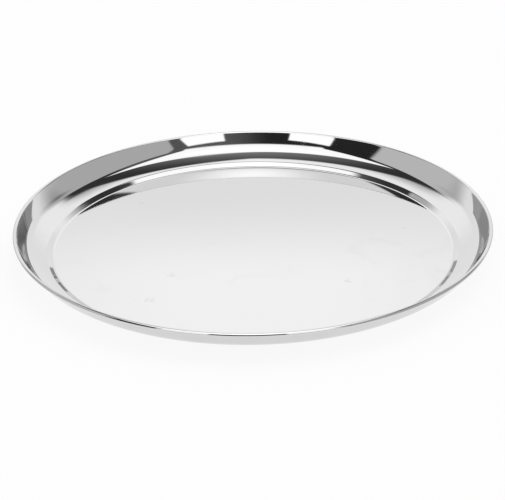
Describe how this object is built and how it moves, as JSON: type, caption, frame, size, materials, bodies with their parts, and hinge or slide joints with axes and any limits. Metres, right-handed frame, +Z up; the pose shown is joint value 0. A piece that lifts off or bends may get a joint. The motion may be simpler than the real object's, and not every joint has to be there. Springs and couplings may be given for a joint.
{
  "type": "round serving tray",
  "caption": "Shallow round metal serving tray with a flat polished base, a small sloping step, a flared wall and a rolled, wire-stiffened rim.",
  "frame": {"origin": "middle of the flat underside, on the surface the tray stands on", "axes": "+Z up, along the tray's axis of revolution; X and Y are equal, because the tray is round"},
  "size_m": [0.4, 0.4, 0.0243],
  "materials": {
    "polished_steel": "mirror-polished stainless steel sheet",
    "drawn_wire": "plain drawn steel wire, hidden inside the rolled edge"
  },
  "bodies": {
    "root": {"tray_pan": "polished_steel", "rim_wire": "drawn_wire"}
  },
  "joints": []
}
